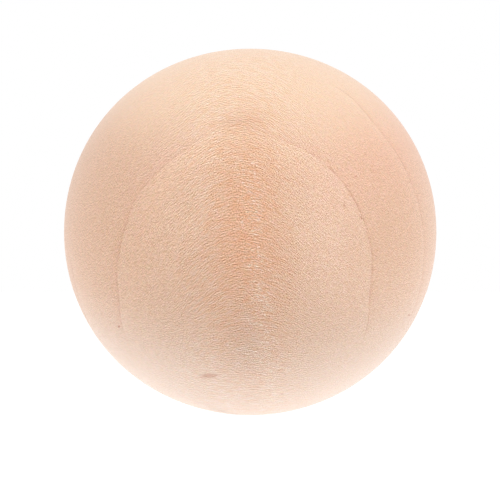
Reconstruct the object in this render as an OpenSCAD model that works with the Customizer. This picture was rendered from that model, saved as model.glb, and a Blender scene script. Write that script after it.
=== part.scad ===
// Turned wooden ball, in one piece.
// X runs along the grain, Y across the growth rings and Z along them, with the origin at the centre.
// Wood shrinks as it dries, hardly at all along the grain and most of all along the growth rings,
// so a ball that left the lathe round ends a little flatter across the grain.

/* [Ball] */
// Diameter off the lathe, which the ball keeps along its grain
ball_d = 40; // [10:0.5:100]
// How much flatter drying leaves it across the growth rings, on Y
radial_loss = 0.3; // [0:0.05:2]
// How much flatter drying leaves it along the growth rings, on Z
tangential_loss = 0.65; // [0:0.05:2]

/* [Hidden] */

grain_d = ball_d;
radial_d = ball_d - radial_loss;
tangential_d = ball_d - tangential_loss;
pale_wood = "#e6c0a0";
facets = 180;

// The dried ball: a true sphere drawn in by its loss on each axis.
module ball() {
  color(pale_wood)
    scale([grain_d, radial_d, tangential_d] / ball_d)
      sphere(d = ball_d, $fn = facets);
}

ball();
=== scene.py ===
import math

import bmesh
import bpy
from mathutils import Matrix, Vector


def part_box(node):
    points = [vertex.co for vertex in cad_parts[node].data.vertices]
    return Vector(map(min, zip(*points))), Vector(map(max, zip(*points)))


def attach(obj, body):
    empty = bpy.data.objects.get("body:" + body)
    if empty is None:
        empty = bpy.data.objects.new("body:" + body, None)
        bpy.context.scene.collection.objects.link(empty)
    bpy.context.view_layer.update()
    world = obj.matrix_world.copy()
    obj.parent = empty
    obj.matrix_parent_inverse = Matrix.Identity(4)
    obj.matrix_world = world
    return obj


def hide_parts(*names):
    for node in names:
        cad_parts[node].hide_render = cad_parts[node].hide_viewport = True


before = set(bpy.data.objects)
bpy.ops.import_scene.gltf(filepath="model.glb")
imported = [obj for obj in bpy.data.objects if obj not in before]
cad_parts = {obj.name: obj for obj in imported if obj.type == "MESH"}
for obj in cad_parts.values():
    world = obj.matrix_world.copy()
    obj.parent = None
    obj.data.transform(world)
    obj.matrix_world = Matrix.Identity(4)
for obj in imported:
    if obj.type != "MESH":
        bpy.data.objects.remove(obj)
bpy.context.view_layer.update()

bl_info = {
    "name": "Turned Wooden Ball",
    "version": (1, 0, 0),
    "blender": (4, 5, 0),
    "location": "3D View > Sidebar > Ball",
    "description": "Makes a turned wooden ball with its grain, and a plain stage for it",
    "category": "Add Mesh",
}

# The frame: the part's box, and the ball that the CAD source turned

BALL_LOW, BALL_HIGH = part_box("ball")
HALF = (BALL_HIGH - BALL_LOW) / 2
CENTRE = (BALL_HIGH + BALL_LOW) / 2
MM = 0.001
MILLIRADIAN = 0.001

# How the ball was cut from the tree: the fibres run along X, so left and right are end grain. The
# bark lay in front and a little low, and the rays lie in the surface on top and on the underside.

FIBRE_WAY = Vector((1, 0, 0))
BARK_WAY = Vector((-0.047, -0.964, -0.261)).normalized()
RAY_WAY = Vector((0, BARK_WAY.z, -BARK_WAY.y)).normalized()

# Places and sizes in the wood are in mm from the middle of the ball: X to the right, Z up. Shares of
# a year and levels of noise run from 0 to 1. Where something sets in or fades, a pair of numbers says
# where that starts and where it is done, and a gain named HIGH, LOW or FAR is how much is left there.

# Year rings. A swelling has its place on X and Z, its radius and its height.
SWELLINGS = (
    (12, -14, 8, 1.5),
    (-14, -13, 7, 1.5),
    (-4, -15, 6, -2.0),
    (12, 15, 10, 1.8),
    (13.3, 12, 6, -1.2),
    (-12, 14, 8, 0.5),
    (-10, 7.5, 5, -0.35),
    (-2, 12, 6, 0.8),
    (-14, 0, 8, -0.4),
    (-20, 2, 6, 5.5),
)
WANDER_SIZE, WANDER_DEPTH = 7.0, 0.5
RAGGED_SIZE, RAGGED_DEPTH = 0.6, 0.12

# The line between two years, as a share of the year, and the dashes that break it
LINE_STARTS, LINE_FULL = (0.972, 0.96), 0.99
LINE_FAR = (12, 18)
DASH_SIZE, DASH_EDGE, DASH_STRENGTH = 1.2, (0.38, 0.62), (0.08, 0.35)

# The first wood of a year is paler and the last is darker, close to that line
EDGE_PALE, EDGE_DARK = (0.2, 0.02), (0.86, 0.97)

# Where the rings can be made out: best at both sides, and in front neither high nor low
RING_SIDES, RING_MIDDLE = (2.5, 8), 0.3
RING_FADES_TO, RING_FADES = (-0.6, 0, 0.8), (12.8, 8.8)
RING_FADES_BELOW, RING_FADES_ABOVE = (-12.5, -8.5), (16.3, 14.3)
RING_BEHIND = (-3, 0)

# Twisted fibres: they turn about X, more and more away from a leaning middle line
TWIST_MIDDLE, TWIST_LEAN = 0.8, 0.08
TWIST_STARTS = (-16, -8)

# Noise runs from 0 to 1 around its middle, and detail adds finer noise on top of it
NOISE_MIDDLE = 0.5
NO_DETAIL, SOME_DETAIL = 0.0, 1.0

# Streaks and pores, as coarse as they need to be to show: a fibre's length, depth and width, the
# step to its neighbours on the surface, a pore's size and how much it counts by itself
FIBRE_SIZE = (0.4, 0.2, 0.12)
NEIGHBOUR_STEP = 0.11
STREAK_MIDDLE, STREAK_SIDES = -1.3, (3.8, 15.0)
STREAK_ABOVE, STREAK_HIGH = (9, 14), 0.95
PORE_SIZE, PORE_OWN = 0.11, 2.0
PORE_UNDER, PORE_LOW = (13, 18), 0.55
PORE_ABOVE, PORE_HIGH = (7, 13), 0.55
PORE_LEFT, PORE_FAR_LEFT = (-8, -13), 0.68
PORE_RIGHT, PORE_FAR_RIGHT = (2, 15), 0.65

# Blotches: soft patches along the fibres, stronger in the middle
BLOTCH_SIZE = (0.9, 0.34, 0.28)
BLOTCH_SIDES, BLOTCH_GAINS = (3, 8), (2.3, 0.7)
BLOTCH_ABOVE, BLOTCH_BELOW, BLOTCH_FAR = (7, 12), (-13, -8), 0.8

# Specks: fibres that are a little pinker or bluer than the wood around them
SPECK_SIZE, SPECK_ROUGHNESS = 0.4, 1.0

# How much of red, green and blue each of these adds or takes: a darker fibre keeps more of its red
# The streaks and pores are partly the wood's own figure and partly painted light: a lighter fibre is
# painted whiter like a glint, and a darker one more orange like shade between the fibres
STREAK_TINT = (0.78, 1.0, 1.2)
BLOTCH_TINT = (0.05, 0.2, 0.34)
EDGE_TINT = (0.015, 0.035, 0.05)
PINK_TINT = (0.14, -0.07, 0.02)
BLUE_TINT = (0.0, -0.03, 0.28)

# Zones of colour. The first three are shares of a year.
LATEWOOD_IN_YEAR = (0.48, 0.61)
EARLYWOOD_IN_YEAR = (0.36, 0.10)
YEAR_END = (0.6, 1.0)
PALE_RIGHT = (3.5, 10.8)
END_GRAIN_SIDES = (7.4, 15.3)
# Painted haze: the lower half is painted greyer and a little darker, as the floor's light lies on it as a
# haze
LOW_HAZE_BELOW = (0.4, -15.8)
ROSY_PLACE, ROSY_REACH = (13.3, 0, 10.0), (11.8, 0)
WARM_LEFT, WARM_RIGHT = (-5.8, 0.0), (5.75, -0.3)
WARM_TOP, WARM_BOTTOM = (16.9, 12.9), (-18, -13)
# Painted shade: the lower end of the warm zone is painted darker and greyer, as it faces the dark front
LOW_SHADE_BELOW = (0, -16)
# Painted highlight: the top is painted paler, as the light from above lies on it, a little less in the
# warm zone
TOP_HIGHLIGHT_REACH, TOP_HIGHLIGHT_IN_WARM = (9.4, 18.9), 0.85

# The painted reflection of the lit floor on the underside starts higher at both sides: by its spread for
# each mm away from its middle
UNDERSIDE_REFLECTION_REACH, UNDERSIDE_REFLECTION_MIDDLE, UNDERSIDE_REFLECTION_SPREAD = (10.2, 22.9), 0.73, 0.29

# The seam: a pale broken line where the fibres of both sides meet
SEAM_MIDDLE, SEAM_LEAN = -0.45, 0.085
SEAM_WANDER, SEAM_WANDER_SIZE = 3.2, 1.4
SEAM_WIDTH, SEAM_TOP = (1.9, 0.1), (11, 4)
SEAM_SIZE, SEAM_EDGE, SEAM_STRENGTH = (0.34, 0.2, 0.13), (0.53, 0.71), 0.5

# Natural marks in front. A mark has its place on X and Z, its half length, its half height, its
# lean in degrees and its strength.
FLECK = (-4.4, -15.33, 1.15, 0.3, 3, 0.38)
MARKS = (
    FLECK,
    (-14.0, -10.1, 0.14, 0.14, 0, 0.7),
    (11.8, 1.5, 0.13, 0.22, 20, 0.5),
    (10.0, 2.8, 0.15, 0.22, 25, 0.35),
    (17.0, -8.9, 0.18, 0.15, 0, 0.5),
    (11.2, 5.9, 0.2, 0.14, 0, 0.35),
    (-1.0, 11.8, 2.6, 0.3, 2, 0.1),
    (-0.5, 11.8, 3.6, 1.9, 0, 0.07),
    (2.2, -16.9, 0.3, 0.12, -5, 0.2),
    (3.4, -17.3, 0.2, 0.12, 5, 0.25),
)
MARK_DEPTH, MARK_EDGE = 2.0, (1.2, 0.4)

# The sanded surface: the height of its raised fibres, and how it takes light
FIBRE_HEIGHT = 0.02
WOOD_IOR, SHEEN_ROUGHNESS = 1.5, 0.5

# A change without a hard edge, and what a view from the front keeps of a place
SOFT = {"interpolation_type": "SMOOTHSTEP"}
FRONT_VIEW = (1, 0, 1)
WHITE = (1, 1, 1, 1)


def linear(hex_colour):
    """An sRGB hex colour such as #e6c09f as linear red, green and blue."""
    parts = [int(hex_colour[i:i + 2], 16) / 255 for i in (1, 3, 5)]
    return tuple(p / 12.92 if p <= 0.04045 else ((p + 0.055) / 1.055) ** 2.4 for p in parts)


def shade(name, description, hex_colour):
    """A colour that can be changed in the sidebar."""
    return bpy.props.FloatVectorProperty(
        name=name, description=description, default=linear(hex_colour),
        size=3, min=0.0, max=1.0, subtype="COLOR")


def length(name, description, default):
    """A length that can be changed in the sidebar."""
    return bpy.props.FloatProperty(
        name=name, description=description, default=default,
        min=0.0, soft_max=1.0, unit="LENGTH", precision=5)


def share(name, description, default):
    """A plain number that can be changed in the sidebar."""
    return bpy.props.FloatProperty(
        name=name, description=description, default=default, min=0.0, soft_max=10.0)


def add(tree, kind, inputs=(), **settings):
    """Adds a node, sets its settings, and fills its inputs, by name or by place, with nodes or values."""
    node = tree.nodes.new("ShaderNode" + kind)
    for name, value in settings.items():
        setattr(node, name, value)
    for key, source in inputs.items() if isinstance(inputs, dict) else enumerate(inputs):
        enabled = [s for s in node.inputs if s.enabled and s.name == key]
        socket = enabled[0] if enabled else node.inputs[key]
        if isinstance(source, bpy.types.Node):
            source = next(s for s in source.outputs if s.enabled)
        if isinstance(source, bpy.types.NodeSocket):
            tree.links.new(source, socket)
        else:
            socket.default_value = source
    return node


def held_back(tree, amount, *limits):
    """An amount times soft gains. A limit is a value, the two ends of its change, and the gains there."""
    for limit in limits:
        gain = add(tree, "MapRange", limit, **SOFT)
        amount = add(tree, "Math", (amount, gain), operation="MULTIPLY")
    return amount


# Sizes and colours that can be changed

class BallShape(bpy.types.PropertyGroup):
    """The shape of the ball"""
    cells: bpy.props.IntProperty(
        name="Cells", description="Mesh cells along each side of the six faces that the ball grows from",
        default=128, min=16, max=128)
    diagonal_fullness: length("Diagonal fullness", "How far it stands proud on its diagonals", 0.11 * MM)
    fleck_depth: length("Fleck depth", "Depth of the dent at the dark fleck", 0.05 * MM)


class WoodLook(bpy.types.PropertyGroup):
    """The colours and the finish of the wood, with the light and shade painted into it"""
    plain: shade("Plain wood", "The wood in the middle of each year's ring", "#e4bca0")
    latewood: shade("Latewood", "The denser wood later in each year's ring", "#e0b69a")
    earlywood: shade("Earlywood", "The pale wood that starts each year's ring", "#e8bea1")
    year_end: shade("Year end", "The pinker wood just before the line between two years", "#e4b89f")
    pale_side: shade("Pale side", "The paler wood towards the right", "#eac4ab")
    end_grain: shade("End grain", "The darker wood where the fibres are cut across", "#dcb295")
    rosy: shade("Rosy wood", "The pinker wood at the upper right", "#e5b599")
    # A painted haze: the lower half's greyer colour stands in for the floor's light on it
    painted_low_haze: shade("Painted low haze", "The lower half, painted greyer and a little darker as a haze of the floor's light", "#d6b49c")
    warm: shade("Warm zone", "The zone where the twisted fibres come up through the surface", "#e1ad8b")
    # A painted shade: the lower middle's darker colour stands in for the dark front's shade
    painted_low_shade: shade("Painted low shade", "The lower end of the warm zone, painted darker and greyer as shade", "#cdae99")
    # A painted highlight: the top's paler colour stands in for the light from above
    painted_top_highlight: shade("Painted top highlight", "The top, painted paler as a highlight of the light above", "#efccae")
    # A painted reflection: the underside's pale colour stands in for the light of the floor below
    painted_underside_reflection: shade("Painted underside reflection", "The underside, painted pale as a reflection of the lit floor", "#e8d3c4")
    ring_line: shade("Ring line", "The thin line between two years", "#b9856c")
    seam: shade("Seam", "The pale broken line where the fibres of both sides meet", "#f2e0ce")
    mark: shade("Marks", "Flecks and dark pores", "#a8583c")
    roughness: share("Roughness", "How matt the sanded wood is", 0.6)
    sheen: share("Sheen", "How much the fine raised fibres catch light at the rim", 0.3)


class GrainLook(bpy.types.PropertyGroup):
    """The rings, the fibres and the pores"""
    ring_width: length("Ring width", "Growth of one year", 8.0 * MM)
    ring_place: length("Ring place", "Distance of the first ring line from the ball's middle", 14.82 * MM)
    pith_depth: length("Pith depth", "Distance of the tree's heart behind the ball's middle", 100 * MM)
    twist: share("Twist", "Turn of the fibres one mm away from the middle line, in milliradians", 4.9)
    streaks: share("Streaks", "Strength of the short streaks in the middle", 0.5)
    side_streaks: share("Side streaks", "Strength of the short streaks at both sides", 0.2)
    pores: share("Pores", "Strength of the fine pores", 0.26)


class StageLook(bpy.types.PropertyGroup):
    """The floor and the light"""
    floor: shade("Floor", "The matt floor", "#9f9f9f")
    key_power: share("Key power", "Power of the key light in watts", 1.65)


# The ball

# Seen from the middle, a face of the cube reaches this far to both sides
FACE_REACH = math.radians(45)


def cube_ball(cells):
    """A cube cut into even cells and blown up to a ball of radius 1."""
    mesh = bmesh.new()
    bmesh.ops.create_cube(mesh, size=2.0)
    bmesh.ops.subdivide_edges(mesh, edges=mesh.edges[:], cuts=cells - 1, use_grid_fill=True)
    for vert in mesh.verts:
        even = Vector(math.tan(c * FACE_REACH) for c in vert.co)
        vert.co = even.normalized()
    return mesh


def ball_piece(shape):
    """The ball as it was turned and sanded: full on its diagonals, dented at the fleck."""
    mesh = cube_ball(shape.cells)
    for vert in mesh.verts:
        way = vert.co.copy()
        fullness = (2 * way.x * way.z) ** 2 * shape.diagonal_fullness
        vert.co = CENTRE + Vector(w * h for w, h in zip(way, HALF)) + way * fullness
        x, y, z = vert.co / MM
        if y < 0:
            off = math.hypot((x - FLECK[0]) / FLECK[2], (z - FLECK[1]) / FLECK[3])
            vert.co -= way * max(0.0, 1 - off) * shape.fleck_depth
    bmesh.ops.recalc_face_normals(mesh, faces=mesh.faces[:])
    for face in mesh.faces:
        face.smooth = True
    data = bpy.data.meshes.new("turned_ball")
    mesh.to_mesh(data)
    mesh.free()
    piece = bpy.data.objects.new("turned_ball", data)
    bpy.context.scene.collection.objects.link(piece)
    return piece


# The wood

def wood_places(tree):
    """Where each point lies in the ball, in mm: across it, out to the sides, along the rays and down."""
    coords = add(tree, "TexCoord")
    mm = add(tree, "VectorMath", (coords.outputs["Object"], (MM, MM, MM)), operation="DIVIDE")
    x, y, z = add(tree, "SeparateXYZ", (mm,)).outputs
    aside = add(tree, "Math", (x, STREAK_MIDDLE), operation="SUBTRACT")
    spread = add(tree, "Math", (x, UNDERSIDE_REFLECTION_MIDDLE), operation="SUBTRACT")
    spread = add(tree, "Math", (spread,), operation="ABSOLUTE")
    spread = add(tree, "Math", (spread, UNDERSIDE_REFLECTION_SPREAD), operation="MULTIPLY")
    return {
        "mm": mm, "x": x, "y": y, "z": z,
        "flat": add(tree, "VectorMath", (mm, FRONT_VIEW), operation="MULTIPLY"),
        "breadth": add(tree, "Math", (x,), operation="ABSOLUTE"),
        "aside": add(tree, "Math", (aside,), operation="ABSOLUTE"),
        "along": add(tree, "VectorMath", (mm, RAY_WAY), operation="DOT_PRODUCT").outputs["Value"],
        "below": add(tree, "Math", (spread, z), operation="SUBTRACT"),
    }


def year_rings(tree, place, grain):
    """How far each point is through its year, from 0 to 1."""
    pith = grain.pith_depth / MM
    out = add(tree, "VectorMath", (place["mm"], BARK_WAY), operation="DOT_PRODUCT").outputs["Value"]
    deep = add(tree, "Math", (out, pith), operation="ADD")
    cross = add(tree, "CombineXYZ", (deep, place["along"]))
    reach = add(tree, "VectorMath", (cross,), operation="LENGTH").outputs["Value"]
    for x, z, radius, height in SWELLINGS:
        away = add(tree, "VectorMath", (place["flat"], (x, 0, z)), operation="DISTANCE").outputs["Value"]
        swelling = add(tree, "MapRange", (away, 0, radius, height, 0), **SOFT)
        reach = add(tree, "Math", (reach, swelling), operation="ADD")
    for size, depth in ((WANDER_SIZE, WANDER_DEPTH), (RAGGED_SIZE, RAGGED_DEPTH)):
        uneven = add(tree, "TexNoise", {"Vector": place["mm"], "Scale": 1 / size, "Detail": SOME_DETAIL})
        reach = add(tree, "Math", (uneven, depth, reach), operation="MULTIPLY_ADD")
    age = add(tree, "Math", (reach, pith + grain.ring_place / MM), operation="SUBTRACT")
    year = add(tree, "Math", (age, grain.ring_width / MM), operation="DIVIDE")
    return add(tree, "Math", (year,), operation="FRACT")


def rings_seen(tree, place):
    """How well the rings can be made out."""
    seen = add(tree, "VectorMath", (place["mm"], RING_FADES_TO), operation="DOT_PRODUCT").outputs["Value"]
    seen = add(tree, "MapRange", (seen, *RING_FADES), **SOFT)
    seen = held_back(tree, seen, (place["z"], *RING_FADES_BELOW), (place["z"], *RING_FADES_ABOVE))
    behind = add(tree, "MapRange", (place["y"], *RING_BEHIND), **SOFT)
    seen = add(tree, "Math", (seen, behind), operation="MAXIMUM")
    return held_back(tree, seen, (place["breadth"], *RING_SIDES, RING_MIDDLE, 1))


def ring_line(tree, place, season, seen):
    """The thin broken line between two years, a little wider at both ends."""
    start = add(tree, "MapRange", (place["breadth"], *LINE_FAR, *LINE_STARTS), **SOFT)
    line = add(tree, "MapRange", (season, start, LINE_FULL), **SOFT)
    dashes = add(tree, "TexNoise", {"Vector": place["mm"], "Scale": 1 / DASH_SIZE, "Detail": SOME_DETAIL})
    line = held_back(tree, line, (dashes, *DASH_EDGE, *DASH_STRENGTH))
    return add(tree, "Math", (line, seen), operation="MULTIPLY")


def year_edge(tree, season, seen):
    """The pale first wood of a year, less the dark last wood, on both sides of the ring line."""
    pale = add(tree, "MapRange", (season, *EDGE_PALE), **SOFT)
    dark = add(tree, "MapRange", (season, *EDGE_DARK), **SOFT)
    edge = add(tree, "Math", (pale, dark), operation="SUBTRACT")
    return add(tree, "Math", (edge, seen), operation="MULTIPLY")


def twisted_fibres(tree, place, grain):
    """The place in the wood before the tree's fibres were twisted about X."""
    leaning = add(tree, "Math", (place["z"], TWIST_LEAN, TWIST_MIDDLE), operation="MULTIPLY_ADD")
    aside = add(tree, "Math", (place["x"], leaning), operation="ADD")
    away = add(tree, "Math", (aside, aside), operation="MULTIPLY")
    rate = add(tree, "MapRange", (place["z"], *TWIST_STARTS, 0, -grain.twist * MILLIRADIAN), **SOFT)
    angle = add(tree, "Math", (away, rate), operation="MULTIPLY")
    return add(tree, "VectorRotate", {"Vector": place["mm"], "Angle": angle}, rotation_type="X_AXIS")


def across_fibres(tree, where):
    """The way on the surface that goes across the fibres."""
    across = add(tree, "VectorMath", (FIBRE_WAY, where), operation="CROSS_PRODUCT")
    return add(tree, "VectorMath", (across,), operation="NORMALIZE")


def against_neighbours(tree, where, size, ways, own=0.0):
    """How much lighter each cell of the wood is than its neighbours on both sides, and its own share."""
    neighbours = 2 * len(ways)
    steps = [(ways[0], 0, neighbours + own)]
    for way in ways:
        steps += [(way, NEIGHBOUR_STEP, -1), (way, -NEIGHBOUR_STEP, -1)]
    light = -own * NOISE_MIDDLE
    for way, step, weight in steps:
        spot = add(tree, "VectorMath", {"Vector": way, "Scale": step}, operation="SCALE")
        spot = add(tree, "VectorMath", (spot, where), operation="ADD")
        spot = add(tree, "VectorMath", (spot, size), operation="DIVIDE")
        cell = add(tree, "TexNoise", {"Vector": spot, "Scale": 1.0, "Detail": NO_DETAIL})
        light = add(tree, "Math", (cell, weight, light), operation="MULTIPLY_ADD")
    return light


def fibre_streaks(tree, place, fibres, grain):
    """Short streaks: each fibre against the fibres above and below it on the surface."""
    streak = against_neighbours(tree, fibres, FIBRE_SIZE, (across_fibres(tree, fibres),))
    return held_back(tree, streak,
                     (place["aside"], *STREAK_SIDES, grain.streaks, grain.side_streaks),
                     (place["z"], *STREAK_ABOVE, 1, STREAK_HIGH))


def fine_pores(tree, place, grain):
    """Fine pores all over, fainter on top, at both ends and on the underside, where the floor's reflection
    is painted.
    """
    ways = (across_fibres(tree, place["mm"]), FIBRE_WAY)
    pore = against_neighbours(tree, place["mm"], (PORE_SIZE, PORE_SIZE, PORE_SIZE), ways, PORE_OWN)
    return held_back(tree, pore,
                     (place["z"], *PORE_ABOVE, grain.pores, PORE_HIGH * grain.pores),
                     (place["below"], *PORE_UNDER, 1, PORE_LOW),
                     (place["x"], *PORE_LEFT, 1, PORE_FAR_LEFT),
                     (place["x"], *PORE_RIGHT, 1, PORE_FAR_RIGHT))


def soft_blotches(tree, place, fibres):
    """Soft patches that lie along the fibres."""
    spot = add(tree, "VectorMath", (fibres, BLOTCH_SIZE), operation="DIVIDE")
    blotch = add(tree, "TexNoise", {"Vector": spot, "Scale": 1.0, "Detail": SOME_DETAIL})
    blotch = add(tree, "Math", (blotch, NOISE_MIDDLE), operation="SUBTRACT")
    return held_back(tree, blotch,
                     (place["aside"], *BLOTCH_SIDES, *BLOTCH_GAINS),
                     (place["z"], *BLOTCH_ABOVE, 1, BLOTCH_FAR),
                     (place["z"], *BLOTCH_BELOW, BLOTCH_FAR, 1))


def colour_specks(tree, place):
    """How much pinker and how much bluer each speck is."""
    specks = add(tree, "TexNoise", {"Vector": place["mm"], "Scale": 1 / SPECK_SIZE, "Detail": SOME_DETAIL,
                 "Roughness": SPECK_ROUGHNESS})
    middle = (NOISE_MIDDLE, NOISE_MIDDLE, NOISE_MIDDLE)
    specks = add(tree, "VectorMath", (specks.outputs["Color"], middle), operation="SUBTRACT")
    pink, blue, _ = add(tree, "SeparateXYZ", (specks,)).outputs
    return pink, blue


def warm_zone(tree, place):
    """The zone where the twisted fibres come up through the surface."""
    zone = add(tree, "MapRange", (place["x"], *WARM_LEFT), **SOFT)
    return held_back(tree, zone,
                     (place["x"], *WARM_RIGHT),
                     (place["z"], *WARM_TOP),
                     (place["z"], *WARM_BOTTOM))


def seam_line(tree, place, fibres):
    """The pale broken line where the fibres of both sides meet."""
    leaning = add(tree, "Math", (place["z"], SEAM_LEAN, SEAM_MIDDLE), operation="MULTIPLY_ADD")
    wander = add(tree, "TexNoise", {"Vector": place["mm"], "Scale": 1 / SEAM_WANDER_SIZE,
                 "Detail": NO_DETAIL})
    wander = add(tree, "Math", (wander, NOISE_MIDDLE), operation="SUBTRACT")
    off = add(tree, "Math", (wander, SEAM_WANDER, leaning), operation="MULTIPLY_ADD")
    off = add(tree, "Math", (place["x"], off), operation="ADD")
    away = add(tree, "Math", (off,), operation="ABSOLUTE")
    seam = add(tree, "MapRange", (away, *SEAM_WIDTH), **SOFT)
    spot = add(tree, "VectorMath", (fibres, SEAM_SIZE), operation="DIVIDE")
    broken = add(tree, "TexNoise", {"Vector": spot, "Scale": 1.0, "Detail": NO_DETAIL})
    return held_back(tree, seam, (broken, *SEAM_EDGE), (place["z"], *SEAM_TOP, 0, SEAM_STRENGTH))


def wood_layers(tree, place, season, seen, fibres, look):
    """The zones of colour in the wood, each laid over the ones before it. Some are painted light and
    shade: the paler top, the greyer lower half, the darker low zone and the pale underside.
    """
    # Painted haze: greyer and a little darker towards the bottom
    painted_low_haze = add(tree, "MapRange", (place["z"], *LOW_HAZE_BELOW), **SOFT)
    not_low_haze = add(tree, "Math", (1, painted_low_haze), operation="SUBTRACT")
    ends = held_back(tree, not_low_haze, (place["breadth"], *END_GRAIN_SIDES))
    rosy_away = add(tree, "VectorMath", (place["flat"], ROSY_PLACE), operation="DISTANCE").outputs["Value"]
    warm = warm_zone(tree, place)
    # Painted shade: the lower end of the warm zone is darker, as shade
    painted_low_shade = held_back(tree, warm, (place["z"], *LOW_SHADE_BELOW))
    highlight_left = add(tree, "MapRange", (warm, 0, 1, 1, TOP_HIGHLIGHT_IN_WARM))
    # Painted highlight: the top is painted paler where the light from above falls on it (the name rays is
    # kept from the floor's light paths)
    rays = held_back(tree, highlight_left, (place["along"], *TOP_HIGHLIGHT_REACH))
    layers = (
        (add(tree, "MapRange", (season, *LATEWOOD_IN_YEAR), **SOFT), look.latewood),
        (add(tree, "MapRange", (season, *EARLYWOOD_IN_YEAR), **SOFT), look.earlywood),
        (add(tree, "MapRange", (season, *YEAR_END), **SOFT), look.year_end),
        (add(tree, "MapRange", (place["x"], *PALE_RIGHT), **SOFT), look.pale_side),
        (ends, look.end_grain),
        (add(tree, "MapRange", (rosy_away, *ROSY_REACH), **SOFT), look.rosy),
        (painted_low_haze, look.painted_low_haze),
        (warm, look.warm),
        (painted_low_shade, look.painted_low_shade),
        (rays, look.painted_top_highlight),
        # Painted reflection: the underside is painted pale, as the lit floor's light lies on it
        (add(tree, "MapRange", (place["below"], *UNDERSIDE_REFLECTION_REACH), **SOFT), look.painted_underside_reflection),
        (ring_line(tree, place, season, seen), look.ring_line),
        (seam_line(tree, place, fibres), look.seam),
    )
    wood = (*look.plain, 1)
    for amount, colour in layers:
        wood = add(tree, "Mix", {"Factor": amount, "A": wood, "B": (*colour, 1)}, data_type="RGBA")
    return wood


def natural_marks(tree, place, wood, look):
    """Flecks and dark pores on the front of the ball."""
    for x, z, half_length, half_height, lean, strength in MARKS:
        y = -HALF.y / MM * math.sqrt(1 - (x * MM / HALF.x) ** 2 - (z * MM / HALF.z) ** 2)
        spot = add(tree, "Mapping", (place["mm"], (x, y, z), (0, math.radians(-lean), 0),
                   (half_length, MARK_DEPTH, half_height)), vector_type="TEXTURE")
        off = add(tree, "VectorMath", (spot,), operation="LENGTH").outputs["Value"]
        amount = add(tree, "MapRange", (off, *MARK_EDGE, 0, strength), **SOFT)
        wood = add(tree, "Mix", {"Factor": amount, "A": wood, "B": (*look.mark, 1)}, data_type="RGBA")
    return wood


def tinted(tree, wood, tints):
    """The wood's colour with each amount of a tint added."""
    for amount, colour in tints:
        tint = add(tree, "VectorMath", {"Vector": colour, "Scale": amount}, operation="SCALE")
        tint = add(tree, "VectorMath", (tint, (1, 1, 1)), operation="ADD")
        wood = add(tree, "VectorMath", (wood, tint), operation="MULTIPLY")
    return wood


def wood_material(look, grain):
    """Bare birch, turned on a lathe and fine sanded."""
    # With no coat on it the wood is matt, and shows no highlight. Its twisted fibres show as short
    # light and dark streaks, its pores as fine specks, and its raised fibre ends as a pale sheen at
    # the rim. Light is also painted into its colour: a paler top as a highlight, a greyer and darker
    # lower half as haze and shade, a pale underside as a reflection of the lit floor, and glints and
    # shade between the fibres in the streaks and pores.
    material = bpy.data.materials.new("bare_turned_birch")
    material.use_nodes = True
    tree = material.node_tree
    tree.nodes.clear()
    place = wood_places(tree)
    season = year_rings(tree, place, grain)
    seen = rings_seen(tree, place)
    fibres = twisted_fibres(tree, place, grain)
    streaks = fibre_streaks(tree, place, fibres, grain)
    pores = fine_pores(tree, place, grain)
    fine = add(tree, "Math", (streaks, pores), operation="ADD")
    blotches = soft_blotches(tree, place, fibres)
    pink, blue = colour_specks(tree, place)
    edge = year_edge(tree, season, seen)
    wood = wood_layers(tree, place, season, seen, fibres, look)
    wood = natural_marks(tree, place, wood, look)
    # The fine streaks and pores paint glints and shade between the fibres, as well as the grain
    wood = tinted(tree, wood, ((fine, STREAK_TINT), (blotches, BLOTCH_TINT), (edge, EDGE_TINT),
                               (pink, PINK_TINT), (blue, BLUE_TINT)))
    bump = add(tree, "Bump", {"Height": fine, "Distance": FIBRE_HEIGHT * MM, "Strength": 1.0})
    skin = add(tree, "BsdfPrincipled", {
        "Base Color": wood, "Roughness": look.roughness, "IOR": WOOD_IOR, "Normal": bump,
        "Sheen Weight": look.sheen, "Sheen Roughness": SHEEN_ROUGHNESS})
    add(tree, "OutputMaterial", {"Surface": skin})
    return material


class BALL_OT_turn(bpy.types.Operator):
    """Makes the turned wooden ball"""
    bl_idname = "ball.turn"
    bl_label = "Turn the Ball"

    def execute(self, context):
        scene = context.scene
        piece = ball_piece(scene.ball_shape)
        piece.data.materials.append(wood_material(scene.wood_look, scene.grain_look))
        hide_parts("ball")
        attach(piece, "root")
        return {"FINISHED"}


# The stage

# Places and sizes in metres. The floor glows less in front of the ball than under and behind it.
FLOOR_HALF = 3.0
FLOOR_SEEN = 0.8
FLOOR_FRONT, FLOOR_GLOW = (-0.05, 0.01), (0.42, 1.0)
ROOM_GLOW = 1.0
KEY_WAY = Vector((0.35, -0.6, 0.7)).normalized()
KEY_DISTANCE, KEY_SIDE = 1.0, 0.5
CAMERA_DISTANCE = 1.5

# Where the ball stands in the picture
PICTURE_PIXELS = 500
PIXELS_PER_MM = 9.31
BALL_PIXEL_X, BALL_PIXEL_Y = 250.25, 231.85


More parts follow.
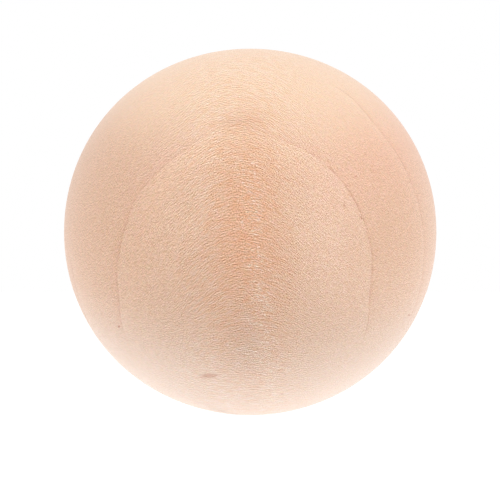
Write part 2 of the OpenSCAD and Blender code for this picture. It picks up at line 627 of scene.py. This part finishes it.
def stage_floor(look):
    """A floor just under the ball that looks white, lights its underside and keeps its shadow."""
    mesh = bmesh.new()
    bmesh.ops.create_grid(mesh, x_segments=1, y_segments=1, size=FLOOR_HALF)
    bmesh.ops.translate(mesh, vec=(0, 0, BALL_LOW.z), verts=mesh.verts)
    data = bpy.data.meshes.new("floor")
    mesh.to_mesh(data)
    mesh.free()
    floor = bpy.data.objects.new("floor", data)
    bpy.context.scene.collection.objects.link(floor)
    # A translucent board lit from below: matt, with no highlight, and soft light on what stands on it
    paint = bpy.data.materials.new("matt_white_board")
    paint.use_nodes = True
    tree = paint.node_tree
    tree.nodes.clear()
    rays = add(tree, "LightPath")
    matt = add(tree, "BsdfDiffuse", {"Color": (*look.floor, 1)})
    coords = add(tree, "TexCoord")
    depth = add(tree, "SeparateXYZ", (coords.outputs["Object"],)).outputs["Y"]
    pool = add(tree, "MapRange", (depth, *FLOOR_FRONT, *FLOOR_GLOW), **SOFT)
    glow = add(tree, "Mix", {"Factor": rays.outputs["Is Camera Ray"], "A": pool, "B": FLOOR_SEEN})
    shine = add(tree, "Emission", {"Color": WHITE, "Strength": glow})
    both = add(tree, "AddShader", (matt, shine))
    add(tree, "OutputMaterial", {"Surface": both})
    data.materials.append(paint)


def stage_light(look):
    """A white room, and one soft key light from above, in front and to the right."""
    scene = bpy.context.scene
    world = bpy.data.worlds.new("studio")
    scene.world = world
    world.use_nodes = True
    tree = world.node_tree
    tree.nodes.clear()
    sky = add(tree, "Background", {"Color": WHITE, "Strength": ROOM_GLOW})
    add(tree, "OutputWorld", {"Surface": sky})
    lamp = bpy.data.lights.new("key", "AREA")
    lamp.shape = "SQUARE"
    lamp.size = KEY_SIDE
    lamp.energy = look.key_power
    key = bpy.data.objects.new("key", lamp)
    key.location = KEY_WAY * KEY_DISTANCE
    key.rotation_euler = KEY_WAY.to_track_quat("Z", "Y").to_euler()
    key.visible_camera = False
    scene.collection.objects.link(key)


def stage_camera():
    """A long lens level with the middle of the ball."""
    scene = bpy.context.scene
    lens = bpy.data.cameras.new("camera")
    camera = bpy.data.objects.new("camera", lens)
    scene.collection.objects.link(camera)
    frame_width = PICTURE_PIXELS / PIXELS_PER_MM * MM
    lens.lens = lens.sensor_width * CAMERA_DISTANCE / frame_width
    picture_middle = PICTURE_PIXELS / 2
    lens.shift_x = (picture_middle - BALL_PIXEL_X) / PICTURE_PIXELS
    lens.shift_y = (BALL_PIXEL_Y - picture_middle) / PICTURE_PIXELS
    camera.location = (0, -CAMERA_DISTANCE, 0)
    camera.rotation_euler = (math.radians(90), 0, 0)
    scene.camera = camera


class BALL_OT_stage(bpy.types.Operator):
    """Sets the floor, the light and the camera"""
    bl_idname = "ball.stage"
    bl_label = "Set the Stage"

    def execute(self, context):
        context.scene.view_settings.view_transform = "Standard"
        stage_floor(context.scene.stage_look)
        stage_light(context.scene.stage_look)
        stage_camera()
        return {"FINISHED"}


class BALL_PT_panel(bpy.types.Panel):
    """Lists the sizes, the colours and the two steps that make the ball"""
    bl_idname = "BALL_PT_panel"
    bl_label = "Turned Ball"
    bl_space_type = "VIEW_3D"
    bl_region_type = "UI"
    bl_category = "Ball"

    def draw(self, context):
        for name, group in GROUPS.items():
            box = self.layout.box()
            box.label(text=name.replace("_", " ").capitalize())
            for key in group.__annotations__:
                box.prop(getattr(context.scene, name), key)
        self.layout.operator(BALL_OT_turn.bl_idname)
        self.layout.operator(BALL_OT_stage.bl_idname)


GROUPS = {"ball_shape": BallShape, "wood_look": WoodLook, "grain_look": GrainLook, "stage_look": StageLook}
CLASSES = (*GROUPS.values(), BALL_OT_turn, BALL_OT_stage, BALL_PT_panel)


def register():
    """Registers the classes and the groups of sizes and colours."""
    for cls in CLASSES:
        bpy.utils.register_class(cls)
    for name, group in GROUPS.items():
        setattr(bpy.types.Scene, name, bpy.props.PointerProperty(type=group))


def unregister():
    """Takes them away again."""
    for name in GROUPS:
        delattr(bpy.types.Scene, name)
    for cls in reversed(CLASSES):
        bpy.utils.unregister_class(cls)


def main():
    """Makes the ball and its stage."""
    register()
    bpy.ops.ball.turn()
    bpy.ops.ball.stage()


if __name__ == "__main__":
    main()
